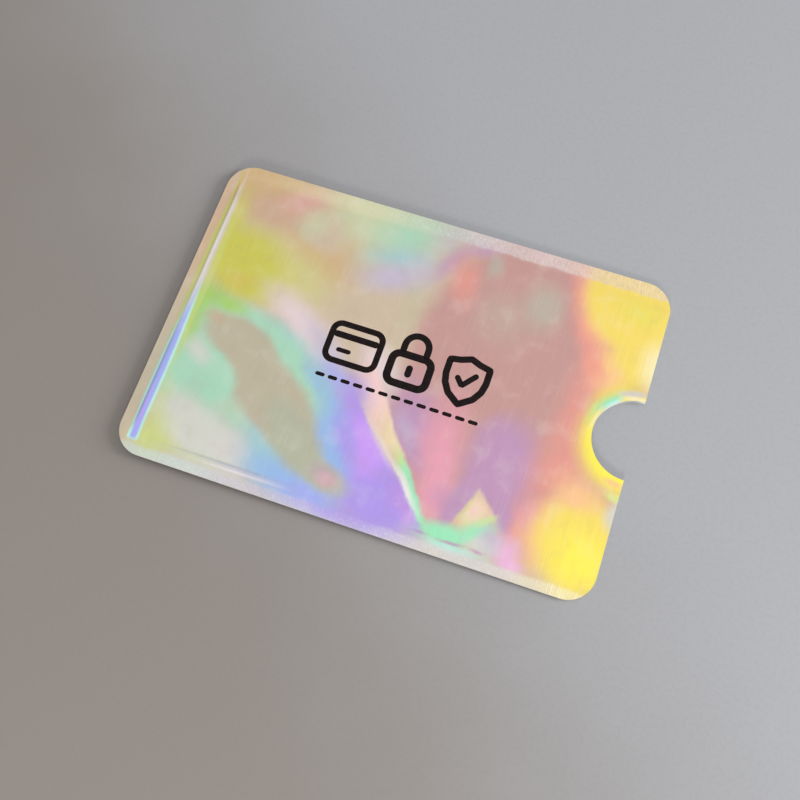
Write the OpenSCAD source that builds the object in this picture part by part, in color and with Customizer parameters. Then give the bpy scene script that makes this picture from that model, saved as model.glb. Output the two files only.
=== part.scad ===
// Shielded sleeve for one bank or identity card.
// Two stiff foil laminates lie face to face. A crimped heat seal joins them along three
// sides, and the fourth side is the open mouth, with a thumb notch through both.
// The sleeve lies on its back: the mouth points to +X and the front faces up.

/* [Outline] */
// Length from the closed end to the mouth
sleeve_len = 91; // [88:0.5:100]
// Width across the two long seals
sleeve_wid = 63; // [60:0.5:72]
// Radius of the four cut corners
corner_r = 5.3; // [2:0.1:8]
// Radius of the thumb notch
notch_r = 7.7; // [5:0.1:11]
// How far the notch's centre lies inside the mouth's edge
notch_inset = 0.2; // [0:0.1:2]

/* [Laminate] */
// Thickness of the rainbow film outside
rainbow_film_t = 0.05; // [0.03:0.01:0.1]
// Thickness of the aluminium foil that blocks the reader
foil_t = 0.02; // [0.01:0.005:0.05]
// Thickness of the white film that stiffens the panel
stiffener_film_t = 0.06; // [0.03:0.01:0.15]
// Thickness of the film that melts in the seals
sealing_film_t = 0.05; // [0.03:0.01:0.1]

/* [Seals] */
// Width of the seal across the closed end
end_seal_w = 2; // [1.5:0.1:4]
// Width of the seals along the two long edges
long_seal_w = 3; // [1.5:0.1:4]
// Distance from one crimp rib to the next
rib_pitch = 0.6; // [0.5:0.1:1.5]
// Height of a crimp rib above the film
rib_h = 0.05; // [0.02:0.01:0.1]
// Plain land between the end of the ribs and the pocket
rib_land = 0.7; // [0.1:0.1:1]

/* [Pocket] */
// Height of the bead that the front makes beside the end seal
bead_h = 0.7; // [0.4:0.05:1.2]
// Run from the end seal up to the top of the bead
bead_rise_w = 1.2; // [0.4:0.1:2]
// Run from the top of the bead down to the panel
bead_fall_w = 1.5; // [0.5:0.1:4]
// Height of the front panel beside the bead
front_end_h = 0.6; // [0.3:0.05:1]
// Height of the front panel at the mouth
front_mouth_h = 0.22; // [0.1:0.02:0.5]
// How far the front panel bows up between its ends
front_bow = 0.12; // [0.05:0.01:0.3]
// Depth of the back panel beside the end seal
back_end_h = 1; // [0.7:0.05:1.5]
// Depth of the back panel at the mouth
back_mouth_h = 0.22; // [0.1:0.02:0.5]
// Run from the end seal down to the full depth of the back
back_slope_w = 3.2; // [1:0.1:8]
// Run of the shoulders beside the long seals
shoulder_w = 6; // [3:0.5:12]

/* [Hidden] */

// The layers of one laminate, counted outward from the plane where the seals meet
sealing_top = sealing_film_t;
stiffener_top = sealing_top + stiffener_film_t;
foil_top = stiffener_top + foil_t;
laminate_t = foil_top + rainbow_film_t;

// Steps along each curved stretch of a profile
bead_steps = 8;
bow_steps = 10;
shoulder_steps = 8;
arc_steps = 96;

// Both shoulders end a little above the highest panel, so that the panel shapes the middle
shoulder_over = 0.1;
front_shoulder_h = max(bead_h, front_end_h + front_bow) + shoulder_over;
back_shoulder_h = back_end_h + shoulder_over;

// Where the bead and the back's slope end
front_flat_x = end_seal_w + bead_rise_w + bead_fall_w;
back_flat_x = end_seal_w + back_slope_w;

// The flat belly of the back runs straight from full depth to the mouth, and the sleeve
// rests on it, so the plane of the seals leans down towards the mouth by this angle
belly_slope = (back_end_h - back_mouth_h) / (sleeve_len - back_flat_x);
lean = atan(belly_slope);
belly_depth = back_end_h + belly_slope * back_flat_x + laminate_t;

// How far cutting and clipping shapes run past what they cut, and ribs sink into the film
overrun = 1;
rib_sink = rainbow_film_t / 3;

// A soft step from 0 to 1
function ease(share) = (1 - cos(180 * share)) / 2;
function between(low, high, share) = low + (high - low) * share;

// Height of the front over its length: the seal, the bead and the bowed panel
front_line = concat(
    [[-overrun, 0]],
    [for (i = [0:bead_steps])
        [end_seal_w + bead_rise_w * i / bead_steps, bead_h * ease(i / bead_steps)]],
    [for (i = [1:bead_steps])
        [end_seal_w + bead_rise_w + bead_fall_w * i / bead_steps,
         between(bead_h, front_end_h, ease(i / bead_steps))]],
    [for (i = [1:bow_steps])
        [between(front_flat_x, sleeve_len, i / bow_steps),
         between(front_end_h, front_mouth_h, i / bow_steps)
         + front_bow * sin(180 * i / bow_steps)]],
    [[sleeve_len + overrun, front_mouth_h]]
);

// Depth of the back over its length: the seal, the slope and the straight belly
back_line = concat(
    [[-overrun, 0]],
    [for (i = [0:bead_steps])
        [end_seal_w + back_slope_w * i / bead_steps, back_end_h * ease(i / bead_steps)]],
    [[sleeve_len + overrun, back_mouth_h - belly_slope * overrun]]
);

// Height over the width: seal, shoulder, level middle, shoulder, seal
function shoulder_line(height) =
    let (
        half = sleeve_wid / 2,
        foot = half - long_seal_w,
        rise = [for (i = [0:shoulder_steps])
            [-foot + shoulder_w * i / shoulder_steps, height * ease(i / shoulder_steps)]],
        fall = [for (i = [shoulder_steps:-1:0])
            [foot - shoulder_w * i / shoulder_steps, height * ease(i / shoulder_steps)]]
    )
    concat([[-half - overrun, 0]], rise, fall, [[half + overrun, 0]]);

// The cut shape of a panel, with its rounded corners and the thumb notch
module outline() {
    difference() {
        union() {
            translate([corner_r, -sleeve_wid / 2])
                square([sleeve_len - 2 * corner_r, sleeve_wid]);
            translate([0, corner_r - sleeve_wid / 2])
                square([sleeve_len, sleeve_wid - 2 * corner_r]);
            for (x = [corner_r, sleeve_len - corner_r], side = [-1, 1])
                translate([x, side * (sleeve_wid / 2 - corner_r)])
                    circle(corner_r, $fn = arc_steps);
        }
        translate([sleeve_len - notch_inset, 0])
            circle(notch_r, $fn = arc_steps);
    }
}

// The inside of the three seals
module pocket_outline() {
    intersection() {
        outline();
        translate([end_seal_w, -sleeve_wid / 2 + long_seal_w])
            square([sleeve_len, sleeve_wid - 2 * long_seal_w]);
    }
}

// All that lies under a line of heights, lifted by an offset, with a level floor below
module under_line(line, lift, reach) {
    first = line[0];
    last = line[len(line) - 1];
    polygon(concat(
        [[first.x - reach, -reach]],
        [[first.x - reach, first.y + lift]],
        [for (point = line) [point.x, point.y + lift]],
        [[last.x + reach, last.y + lift], [last.x + reach, -reach]]
    ));
}

// All that lies under the front's or the back's crowned surface, lifted by an offset.
// The lengthwise and the crosswise profile cut each other to size.
module under_crown(long_line, cross_height, lift, reach) {
    intersection() {
        translate([0, sleeve_wid / 2 + overrun + reach, 0])
            rotate([90, 0, 0])
                linear_extrude(sleeve_wid + 2 * (overrun + reach))
                    under_line(long_line, lift, reach);
        translate([-overrun - reach, 0, 0])
            rotate([90, 0, 90])
                linear_extrude(sleeve_len + 2 * (overrun + reach))
                    under_line(shoulder_line(cross_height), lift, reach);
    }
}

// One layer of a laminate, between two offsets from the crowned surface
module layer(long_line, cross_height, low, high) {
    difference() {
        under_crown(long_line, cross_height, high, overrun);
        under_crown(long_line, cross_height, low, 2 * overrun);
    }
}

// A child shape cut to a flat outline
module cut_to_outline() {
    intersection() {
        children();
        translate([0, 0, -sleeve_wid / 2])
            linear_extrude(sleeve_wid)
                outline();
    }
}

module cut_to_pocket() {
    intersection() {
        children();
        translate([0, 0, -sleeve_wid / 2])
            linear_extrude(sleeve_wid)
                pocket_outline();
    }
}

// A row of pointed ribs along X, each running across the row for the given width
module rib_row(length, width, phase_share) {
    count = floor(length / rib_pitch) - 1;
    start = (length - count * rib_pitch) / 2 + phase_share * rib_pitch;
    valley = laminate_t - rib_sink;
    peak = laminate_t + rib_h;
    rotate([90, 0, 0])
        translate([0, 0, -width / 2])
            linear_extrude(width)
                polygon(concat(
                    [[start, valley - rib_sink]],
                    [for (i = [0:count - 1], half = [0, 1])
                        [start + (i + half / 2) * rib_pitch, half == 0 ? valley : peak]],
                    [[start + count * rib_pitch, valley],
                     [start + count * rib_pitch, valley - rib_sink]]
                ));
}

// The crimp on the outer film: ribs across all three seals
module crimp(phase_share) {
    rib_w = long_seal_w - rib_land;
    for (side = [-1, 1])
        translate([end_seal_w, side * (sleeve_wid - rib_w) / 2, 0])
            rib_row(sleeve_len - end_seal_w, rib_w, phase_share);
    end_rib_w = end_seal_w - rib_land;
    translate([end_rib_w / 2, -sleeve_wid / 2 + corner_r, 0])
        rotate([0, 0, 90])
            rib_row(sleeve_wid - 2 * corner_r, end_rib_w, phase_share);
}

// The sleeve's own frame, with the plane of the seals level at zero, set down on its belly
module lying() {
    translate([-sleeve_len * cos(lean) / 2, 0, belly_depth * cos(lean)])
        rotate([0, lean, 0])
            children();
}

// The back is built face up like the front and turned over
module turned_over() {
    mirror([0, 0, 1])
        children();
}

module front_layer(low, high) {
    layer(front_line, front_shoulder_h, low, high);
}

module back_layer(low, high) {
    turned_over()
        layer(back_line, back_shoulder_h, low, high);
}

module front_rainbow_film() {
    color([0.85, 0.74, 0.72])
        lying()
            cut_to_outline() {
                union() {
                    front_layer(foil_top, laminate_t);
                    crimp(0);
                }
            }
}

module front_foil_shield() {
    color([0.75, 0.76, 0.78])
        lying()
            cut_to_outline()
                front_layer(stiffener_top, foil_top);
}

module front_stiffener_film() {
    color([0.95, 0.95, 0.94])
        lying()
            cut_to_outline()
                front_layer(sealing_top, stiffener_top);
}

module front_sealing_film() {
    color([0.84, 0.87, 0.9])
        lying()
            cut_to_pocket()
                front_layer(0, sealing_top);
}

module back_rainbow_film() {
    color([0.78, 0.8, 0.86])
        lying()
            cut_to_outline() {
                union() {
                    back_layer(foil_top, laminate_t);
                    turned_over()
                        crimp(1 / 2);
                }
            }
}

module back_foil_shield() {
    color([0.75, 0.76, 0.78])
        lying()
            cut_to_outline()
                back_layer(stiffener_top, foil_top);
}

module back_stiffener_film() {
    color([0.95, 0.95, 0.94])
        lying()
            cut_to_outline()
                back_layer(sealing_top, stiffener_top);
}

module back_sealing_film() {
    color([0.84, 0.87, 0.9])
        lying()
            cut_to_pocket()
                back_layer(0, sealing_top);
}

// One welded band, as thick as the two sealing films that melted into it
module weld_band(start, size) {
    lying()
        cut_to_outline()
            translate([start.x, start.y, -sealing_film_t])
                cube([size.x, size.y, 2 * sealing_film_t]);
}

module end_weld() {
    color([0.88, 0.88, 0.86])
        weld_band([0, -sleeve_wid / 2], [end_seal_w, sleeve_wid]);
}

module left_weld() {
    color([0.88, 0.88, 0.86])
        weld_band([end_seal_w, sleeve_wid / 2 - long_seal_w],
                  [sleeve_len - end_seal_w, long_seal_w]);
}

module right_weld() {
    color([0.88, 0.88, 0.86])
        weld_band([end_seal_w, -sleeve_wid / 2],
                  [sleeve_len - end_seal_w, long_seal_w]);
}

front_rainbow_film();
front_foil_shield();
front_stiffener_film();
front_sealing_film();
back_rainbow_film();
back_foil_shield();
back_stiffener_film();
back_sealing_film();
end_weld();
left_weld();
right_weld();
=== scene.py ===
# %% [markdown]
# A card sleeve of rainbow foil, dressed for the camera.
# The imported model is a flat pouch for one bank card: two panels of foil laminate, welded on
# three sides by crimped seals, with a thumb notch in the open mouth. This script loads it as a
# fixed frame and builds the finish round it: finer skins, printed ink, materials, light and camera.
# The model comes first, because every later number is given in its frame.

import math

import bpy
import numpy as np
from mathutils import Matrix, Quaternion, Vector


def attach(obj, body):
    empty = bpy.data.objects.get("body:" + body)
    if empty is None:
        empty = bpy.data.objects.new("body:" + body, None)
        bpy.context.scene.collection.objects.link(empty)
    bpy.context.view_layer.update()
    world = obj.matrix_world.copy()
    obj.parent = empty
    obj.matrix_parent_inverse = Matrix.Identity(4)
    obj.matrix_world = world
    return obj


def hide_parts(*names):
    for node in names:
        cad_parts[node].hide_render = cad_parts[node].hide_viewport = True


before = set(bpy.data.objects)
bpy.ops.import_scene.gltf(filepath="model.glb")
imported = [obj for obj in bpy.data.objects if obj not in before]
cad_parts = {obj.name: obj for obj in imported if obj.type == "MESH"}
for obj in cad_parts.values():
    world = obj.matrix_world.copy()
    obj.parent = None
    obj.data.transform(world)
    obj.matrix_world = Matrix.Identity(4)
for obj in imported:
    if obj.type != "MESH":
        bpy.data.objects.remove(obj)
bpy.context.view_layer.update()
print("packed nodes:", ", ".join(sorted(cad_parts)))

# %% [markdown]
# The camera looks down on the sleeve from the mouth end of one long side, close enough that the
# far edge is seen smaller. A short step back with a longer lens would flatten that, so the spot
# and the lens are set together. The roll turns the picture a few degrees, as a hand-held shot has.
# The view is measured in the model's own axes, in millimetres.

# %% Camera
MM = 0.001
camera_spot = (24.44, -55.81, 168.45)
camera_target = (2.21, -5.77, 0)
camera_roll = -5.29
camera_lens = 42.59

camera_data = bpy.data.cameras.new("photo_camera")
camera_data.lens = camera_lens
camera_data.clip_start = 0.01
camera = bpy.data.objects.new("photo_camera", camera_data)
bpy.context.scene.collection.objects.link(camera)
camera.location = Vector(camera_spot) * MM
sight_line = Vector(camera_target) - Vector(camera_spot)
camera.rotation_mode = "QUATERNION"
camera.rotation_quaternion = sight_line.to_track_quat("-Z", "Y") @ Quaternion(
    (0, 0, 1), math.radians(camera_roll)
)
bpy.context.scene.camera = camera
print("camera distance in millimetres:", round(sight_line.length, 1))

# %% [markdown]
# The sleeve is drawn in its own flat measures: how far along it a point is from the closed end,
# how far across from the middle line, and how high above the seam where the two panels meet.
# These are the sizes of the imported model, so the skins land exactly on it. A second set of
# measures would drift away from the model with the first change.

# %% Sizes of the sleeve, in millimetres
sleeve_len = 91
sleeve_wid = 63
corner_r = 5.3
notch_r = 7.7
notch_centre = sleeve_len - 0.2
end_seal_w = 2
long_seal_w = 3
bead_rise_w = 1.2
bead_fall_w = 1.5
back_slope_w = 3.2
shoulder_w = 6
pocket_half = sleeve_wid / 2 - long_seal_w
straight_half = sleeve_wid / 2 - corner_r

# the layers of one laminate, by the height of each one's top above the seam
lining_top = 0.05
stiffener_top = lining_top + 0.06
foil_top = stiffener_top + 0.02
film_top = foil_top + 0.05

# the back is deepest beside the end seal, so the sleeve leans on its straight belly
back_end_h = 1.0
back_mouth_h = 0.22
back_flat_x = end_seal_w + back_slope_w
belly_slope = (back_end_h - back_mouth_h) / (sleeve_len - back_flat_x)
lean = math.atan(belly_slope)
belly_depth = back_end_h + belly_slope * back_flat_x + film_top


def ease(share):
    """A smooth step from 0 to 1."""
    return (1 - np.cos(np.pi * np.clip(share, 0, 1))) / 2


def in_frame(along, across, height):
    """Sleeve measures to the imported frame, in metres: the sleeve leans on its flat belly."""
    x = along * math.cos(lean) + height * math.sin(lean) - sleeve_len * math.cos(lean) / 2
    z = belly_depth * math.cos(lean) - along * math.sin(lean) + height * math.cos(lean)
    return np.stack([x, across + 0 * x, z], axis=-1) * MM


print("mouth end in the frame:", in_frame(sleeve_len, 0, 0).round(5))

# %% [markdown]
# Each panel is a shallow pillow. It leaves the welded end over a rounded bead, falls slowly
# towards the mouth, and comes down to the seals over a soft shoulder. Two profiles give that, one
# along and one across, and the lower of the two wins. A plain minimum leaves a hard crease where
# they meet, which real foil laminate doesn't have there, so the two are blended.

# %% Height of the two panels above the seam
front_heights = {"bead": 0.7, "end": 0.6, "mouth": 0.22, "bow": 0.12, "shoulder": 0.82}
back_shoulder_h = back_end_h + 0.1
blend_share = 0.7


def front_line(along):
    """The front panel's profile along the sleeve: seal, bead, then a long gentle bow."""
    tall = front_heights
    bead_x = end_seal_w + bead_rise_w
    flat_x = bead_x + bead_fall_w
    rise = tall["bead"] * ease((along - end_seal_w) / bead_rise_w)
    fall = tall["bead"] + (tall["end"] - tall["bead"]) * ease((along - bead_x) / bead_fall_w)
    share = np.clip((along - flat_x) / (sleeve_len - flat_x), 0, 1)
    bow = tall["bow"] * np.sin(np.pi * share)
    slope = tall["end"] + (tall["mouth"] - tall["end"]) * share + bow
    return np.where(along < bead_x, rise, np.where(along < flat_x, fall, slope))


def back_line(along):
    """The back panel's profile: it lies flat on the table, so it is one straight slope."""
    rise = back_end_h * ease((along - end_seal_w) / back_slope_w)
    slope = back_end_h - belly_slope * (along - back_flat_x)
    return np.where(along < back_flat_x, rise, slope)


def blended_low(first, second):
    """The lower of two heights, with the crease between them rounded off."""
    reach = blend_share * np.sqrt(first * second)
    near = np.clip(1 - np.abs(first - second) / np.maximum(reach, 1e-9), 0, 1)
    return np.minimum(first, second) - reach * near**2 / 4


def pillow(along, across, line, shoulder_h):
    """Height of one panel: the long profile held down by the shoulders at the long seals."""
    shoulder = shoulder_h * ease((pocket_half - np.abs(across)) / shoulder_w)
    return blended_low(line(along), shoulder)


spots = np.array([3.1, 20, 50, 91])
along_middle = pillow(spots, 0 * spots, front_line, front_heights["shoulder"])
print("front panel along its middle:", along_middle.round(3))

# %% [markdown]
# A pouch of thin laminate never lies dead flat. Handling leaves shallow dents, a fold from one
# corner, and a lip where the notch was punched. Each is given as a soft oval: where it is,
# how far it reaches along and across, how it is turned, and how much it lifts or sinks. They fade
# out before the seals, which the hot jaws pressed flat. A cloth simulation would wander away from
# the places that the photograph shows.

# %% Dents and swells, in millimetres: along, up from the lower edge, reaches, turn, rise
front_swells = [
    (23.5, 20, 20, 8.5, -38, -0.09),
    (12, 45, 12, 9, -10, 0.05),
    (22, 51.5, 10, 6, -50, 0.04),
    (48.5, 16.5, 15, 3, -52, 0.09),
    (44, 12, 12, 5, -52, -0.05),
    (66, 40, 19, 15, 0, -0.06),
    (69, 11, 6, 6, 0, 0.05),
    (80, 47, 9, 12, 20, 0.04),
    (80, 15, 8, 11, -20, 0.04),
    (38, 53, 12, 6, 20, -0.04),
]
back_swells = [
    (24, 40, 16, 9, 30, -0.05),
    (52, 22, 20, 7, -35, -0.06),
    (72, 42, 12, 9, 20, -0.05),
]
calm_edge_w = 4
lip_w = 2.6
lip_h = 0.07
press_h = 0.04
press_half = 0.35
long_wave, long_wave_h = 3.1, 0.12
short_wave, short_wave_h = 1.3, 0.08
wave_shift = 20
press_start = 5
press_start_fade = 4
press_stop = sleeve_len - 4
press_stop_fade = 6


def swell_heights(along, across, swells):
    """The sum of the soft ovals at each point."""
    total = 0 * along
    up = across + sleeve_wid / 2
    for mid_u, mid_v, reach_u, reach_v, turn, rise in swells:
        angle = math.radians(turn)
        a = (along - mid_u) * math.cos(angle) + (up - mid_v) * math.sin(angle)
        b = (up - mid_v) * math.cos(angle) - (along - mid_u) * math.sin(angle)
        total = total + rise * ease(1 - np.hypot(a / reach_u, b / reach_v))
    return total


def press_line(along, across):
    """The wavering mark that the edge of the jaws leaves beside each long seal."""
    wander = long_wave_h * np.sin(along / long_wave)
    wander = wander + short_wave_h * np.sin(along / short_wave + across / wave_shift)
    off = np.abs(np.abs(across) - pocket_half + press_half + wander) / press_half
    comes = ease((along - press_start) / press_start_fade)
    goes = ease((press_stop - along) / press_stop_fade)
    return -press_h * ease(1 - off) * comes * goes


def calm(along, across):
    """1 in the pocket, fading to 0 at the seals and at the bead."""
    to_side = (pocket_half - np.abs(across)) / calm_edge_w
    to_end = (along - end_seal_w - back_slope_w) / calm_edge_w
    return ease(np.minimum(to_side, to_end))


def front_height(along, across):
    """The front panel, with its dents and the punched lip of the notch."""
    lip = lip_h * ease(1 - (np.hypot(along - notch_centre, across) - notch_r) / lip_w)
    waves = (swell_heights(along, across, front_swells) + lip) * calm(along, across)
    crown = pillow(along, across, front_line, front_heights["shoulder"]) + waves
    return crown + press_line(along, across)


def back_height(along, across):
    """The back panel, measured downwards, with its dents."""
    waves = swell_heights(along, across, back_swells) * calm(along, across)
    return pillow(along, across, back_line, back_shoulder_h) + waves


print("front dents:", len(front_swells), "back dents:", len(back_swells))

# %% [markdown]
# The hot jaws leave fine ribs in the seals: pointed ridges across the two long seals, and along
# the closed end. They are real shape here, because they catch the light as a row of ticks. A bump
# texture would vanish at the edge, where the ribs are seen in outline.

# %% Crimped ribs
rib_pitch = 0.4
rib_h = 0.024
rib_half = 0.1
rib_start = 0.7
rib_ramp = 0.15


def ridges(place, shift):
    """Pointed ridges, one at each pitch."""
    off = np.abs((place / rib_pitch + shift + 0.5) % 1 - 0.5) * rib_pitch
    return rib_h * np.clip(1 - off / rib_half, 0, 1)


def crimp(along, across, shift):
    """Height of the ribs in the long seals and in the end seal."""
    side = np.clip((np.abs(across) - pocket_half - rib_start) / rib_ramp, 0, 1)
    end = np.clip((end_seal_w - rib_start - along) / rib_ramp, 0, 1)
    in_sides = ridges(along, shift) * side * (along >= end_seal_w)
    in_end = ridges(across, shift) * end * (np.abs(across) <= straight_half)
    return in_sides + in_end


print("ribs along one seal:", int((sleeve_len - end_seal_w) / rib_pitch))

# %% [markdown]
# Every layer starts as a flat cut: the outline with its round corners and the notch, filled with
# faces. A plain grid would need the ribs' fine steps everywhere. Here only the long seals have
# fine columns and the end seal fine rows, and the pocket has coarse ones. Where the two meet, a
# face takes in all the points on its finer side. Rows stop at the outline and at the notch, so
# the rim follows both arcs.

# %% Columns and rows of the flat cut
# places are rounded, so that two lists agree on a place that they share
digits = 4
bead_end = 6
bead_step = 0.1
skin_step = 0.6
core_step = 1.8
plain_step = 0.35
corner_turns = (5, 10, 15, 20, 25, 31)
notch_turns = range(0, 90, 4)
arc_steps = [corner_r * (1 - math.cos(math.radians(turn))) for turn in corner_turns]
notch_steps = [notch_centre - notch_r * math.cos(math.radians(turn)) for turn in notch_turns]


def spaced(start, stop, step):
    """Places from start to stop at a fixed step, both ends in."""
    return [start + step * n for n in range(round((stop - start) / step) + 1)]


def tidy_list(places, high):
    """Sorted places from 0 up to the highest, each once."""
    return sorted({round(p, digits) for p in places if 0 <= round(p, digits) <= high})


rims = arc_steps + [sleeve_len - step for step in arc_steps] + notch_steps + [0, sleeve_len]
seal_columns = tidy_list(spaced(0, sleeve_len, rib_half) + rims, sleeve_len)
rib_edge = end_seal_w - rib_start
end_columns = [rib_edge - plain_step, rib_edge - rib_ramp, rib_edge, end_seal_w - plain_step]
bead_columns = spaced(end_seal_w, bead_end, bead_step)
pocket_columns, inner_columns = (
    tidy_list(end_columns + bead_columns + spaced(bead_end, sleeve_len, step) + rims, sleeve_len)
    for step in (skin_step, core_step)
)
fine_edge = pocket_half + rib_start
row_runs = ((0, 22, 1), (22.5, 26.5, 0.5), (26.5, 27.5, 0.25), (27.5, fine_edge, 0.1))
rows = [row for run in row_runs for row in spaced(*run)]
rows = tidy_list(rows + [straight_half, fine_edge + rib_ramp, sleeve_wid / 2], sleeve_wid / 2)
end_rows = tidy_list(spaced(0, straight_half, rib_half), straight_half)
print("columns:", len(seal_columns), "in the seals,", len(pocket_columns), "in the pocket")

# %% Faces of the flat cut
straight_row = round(straight_half, digits)


def stop_at_rim(along, row):
    """A point of the flat cut: a row ends at the notch and at the outline."""
    inward = max(corner_r - along, along - (sleeve_len - corner_r), 0)
    outline = straight_half + math.sqrt(corner_r**2 - inward**2)
    to_notch = min(notch_centre - along, notch_r)
    notch = math.sqrt(notch_r**2 - to_notch**2)
    return along, min(max(row, notch), outline)


def stitch(near, far, place):
    """Faces between two lines of points that share only some of their places."""
    shared = sorted(set(near[1]) & set(far[1]))
    for start, stop in zip(shared, shared[1:]):
        ring = [place(near[0], p) for p in near[1] if start <= p <= stop]
        yield ring + [place(far[0], p) for p in reversed(far[1]) if start <= p <= stop]


def half_cut(columns, fine_columns, fine_rows, first, last_row):
    """The faces of one half of the cut, as rings of points; fine rows fill the end seal."""
    rings = []
    kept_rows = [r for r in rows if r <= last_row]
    for low, high in zip(kept_rows, kept_rows[1:]):
        inside = high <= straight_row and fine_rows
        start = first if not inside else end_seal_w + rib_half
        sets = [
            [c for c in (fine_columns if row >= fine_edge else columns) if c >= start]
            for row in (low, high)
        ]
        rings += stitch((low, sets[0]), (high, sets[1]), lambda row, c: stop_at_rim(c, row))
    if fine_rows:
        closed_end = [c for c in columns if c <= round(end_seal_w + rib_half, digits)]
        coarse = [r for r in rows if r <= straight_row]
        for left, right in zip(closed_end, closed_end[1:]):
            right_rows = fine_rows if right <= end_seal_w else coarse
            rings += stitch((right, right_rows), (left, fine_rows), stop_at_rim)
    return rings


def flat_cut(columns, fine_columns, fine_rows=(), first=0.0, last_row=sleeve_wid / 2):
    """Points and faces of a whole flat cut: one half and its mirror image, sewn together."""
    places, faces = {}, []
    rings = half_cut(columns, fine_columns, fine_rows, first, last_row)
    mirrored = [[(u, -v) for u, v in reversed(ring)] for ring in rings]
    for ring in rings + mirrored:
        spots = [(round(u, digits), round(v, digits) + 0.0) for u, v in ring]
        face = [places.setdefault(spot, len(places)) for spot in spots]
        face = [n for n, before in zip(face, face[-1:] + face[:-1]) if n != before]
        if len(set(face)) > 2:
            faces.append(face)
    return np.array(list(places), float), faces


skin_cut = flat_cut(pocket_columns, seal_columns, end_rows)
core_cut = flat_cut(inner_columns, inner_columns)
lining_cut = flat_cut(inner_columns, inner_columns, first=end_seal_w, last_row=pocket_half)
for title, cut in (("skin", skin_cut), ("core", core_cut), ("lining", lining_cut)):
    print(title, "cut:", len(cut[0]), "points,", len(cut[1]), "faces")

# %% [markdown]
# A layer of the laminate is the flat cut, lifted twice: once to the layer's underside and once to
# its outside, with a wall round the rim. That makes each layer a closed sheet of its real
# thickness, which is what shows at the mouth. One surface with a solidify modifier would be
# shorter, but then the layers' shared shape would be held in many places.

# %% From a flat cut to a closed layer
sharp_edge = math.radians(60)


def link(piece, slot_name):
    """Puts a piece in the scene, riding on the sleeve."""
    bpy.context.scene.collection.objects.link(piece)
    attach(piece, "root")
    return piece


def smooth_mesh(name, points, faces):
    """A mesh that is shaded smooth, but for its sharp rims."""
    mesh = bpy.data.meshes.new(name)
    mesh.from_pydata(points.tolist(), [], faces)
    mesh.validate()
    mesh.shade_smooth()
    mesh.set_sharp_from_angle(angle=sharp_edge)
    return mesh


def rim_edges(faces):
    """The edges that only one face has, in that face's direction."""
    edges = {(a, b) for face in faces for a, b in zip(face, face[1:] + face[:1])}
    return sorted((a, b) for a, b in edges if (b, a) not in edges)


def closed_sheet(outer, inner, faces):
    """Points and faces of a thin sheet: its outside, its inside, and a wall round the rim."""
    count = len(outer)
    backs = [[n + count for n in reversed(face)] for face in faces]
    walls = [[b, a, a + count, b + count] for a, b in rim_edges(faces)]
    return np.concatenate([outer, inner]), faces + backs + walls


def layer(name, node, slot_name, cut, side, low, high, rib_shift=None):
    """One layer of a panel: side 1 is the front and -1 the back."""
    along, across = cut[0].T
    crown = front_height(along, across) if side > 0 else back_height(along, across)
    ribs = 0 if rib_shift is None else crimp(along, across, rib_shift)
    outer = in_frame(along, across, side * (crown + high + ribs))
    inner = in_frame(along, across, side * (crown + low))
    points, faces = closed_sheet(outer, inner, cut[1])
    if side < 0:
        faces = [face[::-1] for face in faces]
    piece = bpy.data.objects.new(name, smooth_mesh(name, points, faces))
    link(piece, slot_name)
    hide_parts(node)
    return piece


# %% [markdown]
# From the outside in, each panel has a clear polyester film with the rainbow pressed into it, the
# aluminium foil that blocks the reader, a white film that keeps it stiff, and a milky film that
# melts in the seals and lines the pocket. Each is its own piece, so a repaint can tell them apart.

# %% The eight layers
panels = {}
for panel, side, shift, film_slot in (
    ("front", 1, 0.0, "rainbow_film"),
    ("back", -1, 0.5, "rainbow_film_back"),
):
    for part, slot_name, cut, low, high in (
        ("rainbow_film", film_slot, skin_cut, foil_top, film_top),
        ("foil_shield", "foil_shield", core_cut, stiffener_top, foil_top),
        ("stiffener_film", "stiffener_film", core_cut, lining_top, stiffener_top),
        ("sealing_film", "sealing_film", lining_cut, 0, lining_top),
    ):
        ribbed = shift if part == "rainbow_film" else None
        node = f"{panel}_{part}"
        piece = layer(f"{node}_skin", node, slot_name, cut, side, low, high, ribbed)
        panels[node] = piece
        print(piece.name, "has", len(piece.data.polygons), "faces")

# %% [markdown]
# The print says what the sleeve is for, without words: a card, a padlock and a shield, over a row
# of short bars. The ink stands about a hundredth of a millimetre proud, so each line is laid as
# a ribbon that follows the dents of the panel, with round ends like a drawn stroke. Flat shapes
# cut from a curve would float over the dents or sink into them.

# %% Ribbons of ink
ink_rise = 0.012
ink_sink = 0.01
ink_step = 0.25
least_steps = 4
ribbon_shares = np.array([-1, -0.9, -0.45, 0, 0.45, 0.9, 1])
cap_turns = np.radians(np.arange(0, 90, 15))


def resample(path, closed):
    """Even points along a path of straight runs."""
    points = np.array(path + path[:1] if closed else path, float)
    runs = np.hypot(*np.diff(points, axis=0).T)
    walked = np.concatenate([[0], np.cumsum(runs)])
    count = max(int(walked[-1] / ink_step), least_steps) + 1
    stops = np.linspace(0, walked[-1], count)
    line = np.stack([np.interp(stops, walked, points[:, k]) for k in (0, 1)], axis=1)
    return line[:-1] if closed else line


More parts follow.
